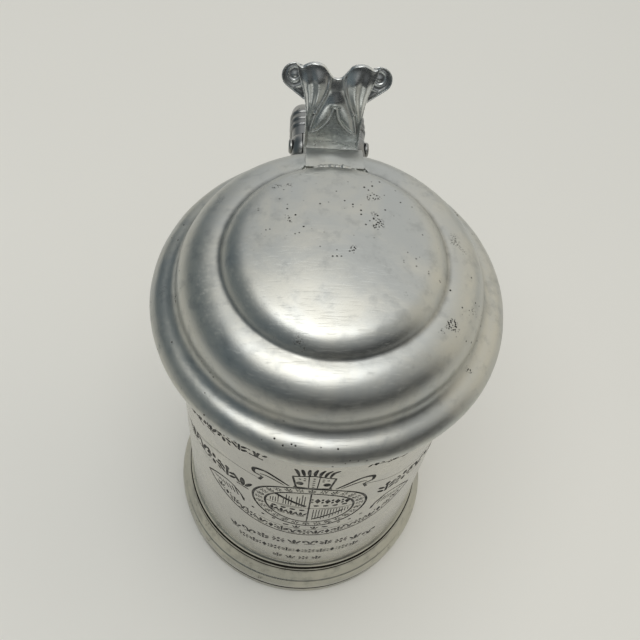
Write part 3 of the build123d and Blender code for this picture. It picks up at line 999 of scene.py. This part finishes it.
def volute(hand):
    """One scroll end: a leaning teardrop band closed by a dished face with a spiral and an eye."""
    tail_x, tail_rise = volute_tail[0] - volute_x, volute_tail[1] - volute_rise
    tail_angle = atan2(tail_rise, tail_x)
    spread = acos(volute_radius / hypot(tail_x, tail_rise))
    turns, rings = 96, 24
    verts, faces = [], []

    def reach_at(angle):
        off = abs((angle - tail_angle + pi) % TAU - pi)
        return volute_radius / cos(spread - off) if off < spread else volute_radius

    def place(angle, reach, depth):
        along, up = reach * cos(angle), reach * sin(angle)
        y = volute_y + up * sin(volute_tilt) + depth * cos(volute_tilt)
        rise = volute_rise + up * cos(volute_tilt) - depth * sin(volute_tilt)
        return (hand * (volute_x + along), y, rim_height + rise)

    def dish(angle, share, reach):
        rim = float(smooth_step(0.78, 0.93, share))
        spiral = max(0.0, cos(TAU * (reach / 2.3 - angle / TAU)))
        ridged = float(smooth_step(1.0, 1.7, reach)) * (1 - float(smooth_step(3.4, 4.2, reach)))
        eye = 0.3 * exp(-((reach / 0.9) ** 2))
        return (1.2 - 0.35 * spiral * ridged - eye) * (1 - rim)

    for ring_index in range(rings + 1):
        share = ring_index / rings
        for step in range(turns):
            angle = TAU * step / turns
            reach = reach_at(angle) * share
            verts.append(place(angle, reach, dish(angle, share, reach)))
    back_rings = ((0.1, 1.0), (0.35, 0.92), (0.6, 0.80), (0.8, 0.68), (0.95, 0.55), (1.0, 0.42))
    for depth_share, size in (*back_rings, (1.0, 0.2), (1.0, 0.0)):
        for step in range(turns):
            angle = TAU * step / turns
            verts.append(place(angle, reach_at(angle) * size, volute_length * depth_share))
    for a, b, c, d in skin(len(verts) // turns, turns):
        faces.append((a, d, c, b) if hand > 0 else (b, c, d, a))
    return verts, faces


def fused(name, solids, voxel, smoothing):
    """One skin over several overlapping closed meshes, remeshed and smoothed like a casting."""
    verts, faces = [], []
    for part_verts, part_faces in solids:
        faces += [tuple(index + len(verts) for index in face) for face in part_faces]
        verts += part_verts
    piece = new_object(name, verts, faces)
    remesh = piece.modifiers.new("skin", "REMESH")
    remesh.mode = "VOXEL"
    remesh.voxel_size = voxel * MM
    soften = piece.modifiers.new("soften", "SMOOTH")
    soften.factor = 0.5
    soften.iterations = smoothing
    applied = bpy.data.meshes.new_from_object(piece.evaluated_get(bpy.context.evaluated_depsgraph_get()))
    piece.modifiers.clear()
    piece.data = applied
    applied.name = name
    applied.shade_smooth()
    return piece


def make_thumbpiece():
    """The plate and both volutes, cast as one."""
    thumb = fused("cast_thumbpiece", [thumb_plate(), volute(1), volute(-1)], 0.2, 2)
    # Hollows round the leaves, wires, lobes and volutes darken: tarnish and painted shade.
    paint_cavities(thumb, 5.0, 10)
    finish_piece(thumb, "lid", "cast_pewter", "thumbpiece", cast_metal_painted_light)


make_foot()
make_lip()
make_thumbpiece()

# ---- the handle and the solder seam

knuckle_reach = 4.65
back_line = [(65.7, 174.7), (79.5, 171.45), (92.5, 160.45), (98.65, 142.0), (95.55, 108.0), (80.55, 75.95)]
back_line += [(69.25, 56.0), (66.65, 44.5), (73.05, 33.0), (77.5, 27.0)]
belly_line = [(64.0, 158.9), (71.0, 160.7), (83.0, 154.5), (88.9, 141.0), (86.1, 110.0), (71.9, 80.4)]
belly_line += [(58.5, 56.0), (58.5, 37.6), (68.5, 27.5), (73.0, 22.5)]
side_line = [(13.0, 150.0), (10.6, 95.0), (7.6, 50.0), (6.6, 20.0)]
reed_places = (71.6, 75.0, 79.4)


def side_reach(height):
    """Half the handle's width at a height."""
    half, level = np.array(curve(side_line, 10)[::-1]).T
    return float(np.interp(height, level, half))


def handle_stations():
    """Pairs of points, on the handle's back and on its belly, from the drum to the tail."""
    tops = [(44.0, 169.3), (56.55, 169.3)]
    for angle in (172, 160, 145, 128, 110, 90, 72, 55, 38):
        a = radians(angle)
        tops.append((hinge_y + knuckle_reach * cos(a), hinge_z + knuckle_reach * sin(a)))
    pairs = [(top, (top[0], 138.0)) for top in tops]
    return pairs + list(zip(curve(back_line, 10), curve(belly_line, 10)))


def section(top, bottom):
    """One closed round of the handle's D-shaped section, between its back and its belly."""
    deep, clearance = dist(top, bottom), 0.06
    down = ((bottom[0] - top[0]) / deep, (bottom[1] - top[1]) / deep)
    corner_top, corner_low = min(4.3, deep * 0.45), min(3.0, deep * 0.3)
    turns = [radians(90 * step / 8) for step in range(9)]
    outline = [(corner_top * (1 - sin(a)), corner_top * (1 - cos(a))) for a in turns]
    outline += [(corner_low * (1 - cos(a)), deep - corner_low * (1 - sin(a))) for a in turns]
    half = []
    for inset, depth in outline:
        y, z = top[0] + down[0] * depth, top[1] + down[1] * depth
        half.append((side_reach(z) + clearance - inset, y, z))
    return half + [(-x, y, z) for x, y, z in reversed(half)]


def handle_envelope():
    """A smooth closed body round the whole handle, with its long edges well rounded."""
    rounds = [section(top, bottom) for top, bottom in handle_stations()]
    count = len(rounds[0])
    verts = [point for points in rounds for point in points]
    ends = [tuple(range(count))[::-1], tuple(range(len(verts) - count, len(verts)))]
    return verts, skin(len(rounds), count) + ends


def rounded_castings():
    """The bracket and both grip halves, cut to the smooth envelope."""
    envelope = new_object("handle_envelope", *handle_envelope())
    for node_name, name in (
        ("hinge_bracket", "cast_bracket"),
        ("handle_half_left", "cast_grip_left"),
        ("handle_half_right", "cast_grip_right"),
    ):
        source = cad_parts[node_name]
        work = bmesh.new()
        work.from_mesh(source.data)
        work.transform(source.matrix_world)
        bmesh.ops.remove_doubles(work, verts=work.verts, dist=TINY)
        mesh = bpy.data.meshes.new(name)
        work.to_mesh(mesh)
        work.free()
        raw = in_scene(name + "_raw", mesh)
        cut = raw.modifiers.new("cut", "BOOLEAN")
        cut.operation, cut.solver, cut.object = "INTERSECT", "EXACT", envelope
        shaped = raw.evaluated_get(bpy.context.evaluated_depsgraph_get()).to_mesh()
        verts = [tuple(c / MM for c in v.co) for v in shaped.vertices]
        faces = [tuple(polygon.vertices) for polygon in shaped.polygons]
        bpy.data.objects.remove(raw)
        piece = new_object(name, verts, faces, 35)
        # Creases along the castings darken: tarnish and painted shade.
        paint_cavities(piece, 3.0, 4)
        finish_piece(piece, "vessel", "handle_pewter", node_name, handle_metal_painted_shade)
    bpy.data.objects.remove(envelope)


def make_reeds():
    """Three rounded reeds across the shoulder, wrapped round the handle."""
    reed_lift, reed_half_width, sunk = 0.62, 0.85, 0.05
    back_y, back_z = np.array(curve(back_line[:4], 12)).T
    belly_y, belly_z = np.array(curve(belly_line[:4], 12)).T
    verts, faces = [], []
    for place in reed_places:
        top = (place, float(np.interp(place, back_y[:30], back_z[:30])))
        bottom = (place, float(np.interp(place, belly_y, belly_z)))
        middle = Vector((0, (top[0] + bottom[0]) / 2, (top[1] + bottom[1]) / 2))
        around = [Vector(point) for point in section(top, bottom)]
        count, sides = len(around), 10
        faces += skin(count, sides, len(verts), closed=True)
        for index, point in enumerate(around):
            along = (around[(index + 1) % count] - around[index - 1]).normalized()
            outward = Vector((0, 1, 0)).cross(along)
            if outward.dot(point - middle) <= 0:
                outward = -outward
            for step in range(sides):
                a = TAU * step / sides
                lift = outward * (reed_lift * cos(a) - sunk)
                verts.append(tuple(point + lift + Vector((0, reed_half_width * sin(a), 0))))
    reeds = new_object("cast_reeds", verts, faces)
    paint_no_grime_or_shade(reeds)
    finish_piece(reeds, "vessel", "handle_pewter", "shoulder_reeds", handle_metal_painted_shade)


def make_solder():
    """The ragged solder seam round the strap's end on the lid."""
    profile = sorted((radius, height) for radius, height in lid_profile(0.0, 12))
    reach, level = np.array(profile).T
    strap_low, strap_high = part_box("hinge_tongue")
    near, half = strap_low.y / MM, strap_high.x / MM
    path = [(-half - 0.7, near + 0.5), (-half + 0.8, near + 0.1), (0.0, near - 0.1)]
    line = curve([*path, (half - 0.8, near + 0.1), (half + 0.7, near + 0.5)], 22)
    verts, sides = [], 10
    for index, (x, y) in enumerate(line):
        chance = noise.noise(Vector((index * 0.45, 3.1, 0.0)))
        drift = noise.noise(Vector((index * 0.3, 8.2, 1.0)))
        size = max(0.2, 0.62 + 0.6 * chance)
        along = heading_at(line, index)
        across = Vector((along.y, -along.x, 0))
        x, y = x + across.x * 0.35 * drift, y + across.y * 0.35 * drift
        base = Vector((x, y, float(np.interp(hypot(x, y), reach, level)) - 0.05))
        for step in range(sides):
            a = TAU * step / sides
            spread = across * (size * 1.5 * cos(a))
            verts.append(tuple(base + spread + Vector((0, 0, size * sin(a)))))
    ends = [tuple(range(sides))[::-1], tuple(range(len(verts) - sides, len(verts)))]
    seam = new_object("tongue_solder", verts, skin(len(line), sides) + ends)
    paint_no_grime_or_shade(seam)
    finish_piece(seam, "lid", "lid_pewter", None, lid_metal)


rounded_castings()
make_reeds()
make_solder()

# ---- the room, the light and the camera


def make_floor():
    """A pale paper floor with a painted shadow that darkens it far in front."""
    half, cells = 1.6, 64
    verts = []
    for row in range(cells + 1):
        for column in range(cells + 1):
            across, back = column / cells * 2 - 1, row / cells * 2 - 1
            verts.append((across * half / MM, back * half / MM, 0.0))
    floor = new_object("floor", verts, grid_faces(cells, cells))
    material, tree, shader, place = new_material("floor_paper")
    paper = mixed(tree, cloudy(tree, place, 3.0, 3.0), (0.84, 0.825, 0.78), (0.89, 0.88, 0.835))
    split = node(tree, "ShaderNodeSeparateXYZ")
    tree.links.new(place, split.inputs[0])
    # Painted shadow: the paper darkens towards the front.
    paper = mixed(tree, ramp(tree, split.outputs["Y"], -0.12, -0.6), paper, (0.5, 0.49, 0.465))
    tree.links.new(paper, shader.inputs["Base Color"])
    shader.inputs["Roughness"].default_value = 0.85
    floor.data.materials.append(material)


def make_light(name, place, target, diameter, power, colour):
    """A round soft light that faces its target."""
    lamp = bpy.data.lights.new(name, "AREA")
    lamp.shape = "DISK"
    lamp.size = diameter
    lamp.energy = power
    lamp.color = colour
    made = in_scene(name, lamp)
    made.location = place
    made.rotation_mode = "QUATERNION"
    made.rotation_quaternion = (Vector(target) - Vector(place)).to_track_quat("-Z", "Y")


def make_world():
    """A soft room: pale walls behind and to the right, dim in front and bluish to the left."""
    world = bpy.data.worlds.new("room")
    world.use_nodes = True
    tree = world.node_tree
    background = tree.nodes["Background"]
    direction = node(tree, "ShaderNodeTexCoord").outputs["Generated"]
    split = node(tree, "ShaderNodeSeparateXYZ")
    tree.links.new(direction, split.inputs[0])
    x, y, z = split.outputs
    front = mixed(tree, ramp(tree, z, 0.15, 0.7), (0.025, 0.027, 0.028), (0.36, 0.37, 0.37))
    walls = mixed(tree, ramp(tree, y, -0.45, 0.35), front, (0.74, 0.74, 0.72))
    right = times(tree, ramp(tree, x, 0.35, 0.95), ramp(tree, y, -0.55, -0.05))
    walls = mixed(tree, right, walls, (0.80, 0.76, 0.66))
    walls = mixed(tree, ramp(tree, x, -0.1, -0.75), walls, (0.13, 0.16, 0.175))
    tree.links.new(walls, background.inputs["Color"])
    background.inputs["Strength"].default_value = 1.0
    bpy.context.scene.world = world


def make_camera():
    """A camera high above the front, turned a little about its own line of sight."""
    heading, elevation, roll = radians(7.05), radians(60.85), radians(8.39)
    level_share = cos(elevation)
    forward = Vector((sin(heading) * level_share, cos(heading) * level_share, -sin(elevation)))
    level = Vector((cos(heading), -sin(heading), 0.0))
    upright = level.cross(forward)
    right = level * cos(roll) + upright * sin(roll)
    up = upright * cos(roll) - level * sin(roll)
    camera_data = bpy.data.cameras.new("camera")
    camera_data.sensor_width = 36.0
    camera_data.lens = 47.81
    camera = in_scene("camera", camera_data)
    turn = Matrix((right, up, -forward)).transposed().to_4x4()
    camera.matrix_world = Matrix.Translation(Vector((-18.54, -136.48, 405.14)) * MM) @ turn
    bpy.context.scene.camera = camera


make_floor()
make_world()
make_light("ceiling", (-0.17, -0.25, 1.6), (0, 0, 0.15), 1.25, 9.6, (1.0, 0.99, 0.96))
make_camera()
bpy.context.scene.view_settings.view_transform = "Standard"

node_metals = {
    "floor_disc": inner_metal,
    "upper_handle_plate": handle_metal_painted_shade,
    "lower_handle_plate": handle_metal_painted_shade,
    "lower_strut": handle_metal_painted_shade,
    "tail_boss": handle_metal_painted_shade,
    "hinge_pin": pin_metal,
    "pin_cap_left": pin_metal,
    "pin_cap_right": pin_metal,
    "lid_seat": inner_metal,
    "hinge_tongue": lid_metal,
}
for name, metal in node_metals.items():
    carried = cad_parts[name]
    carried.data.materials.clear()
    carried.data.materials.append(metal)
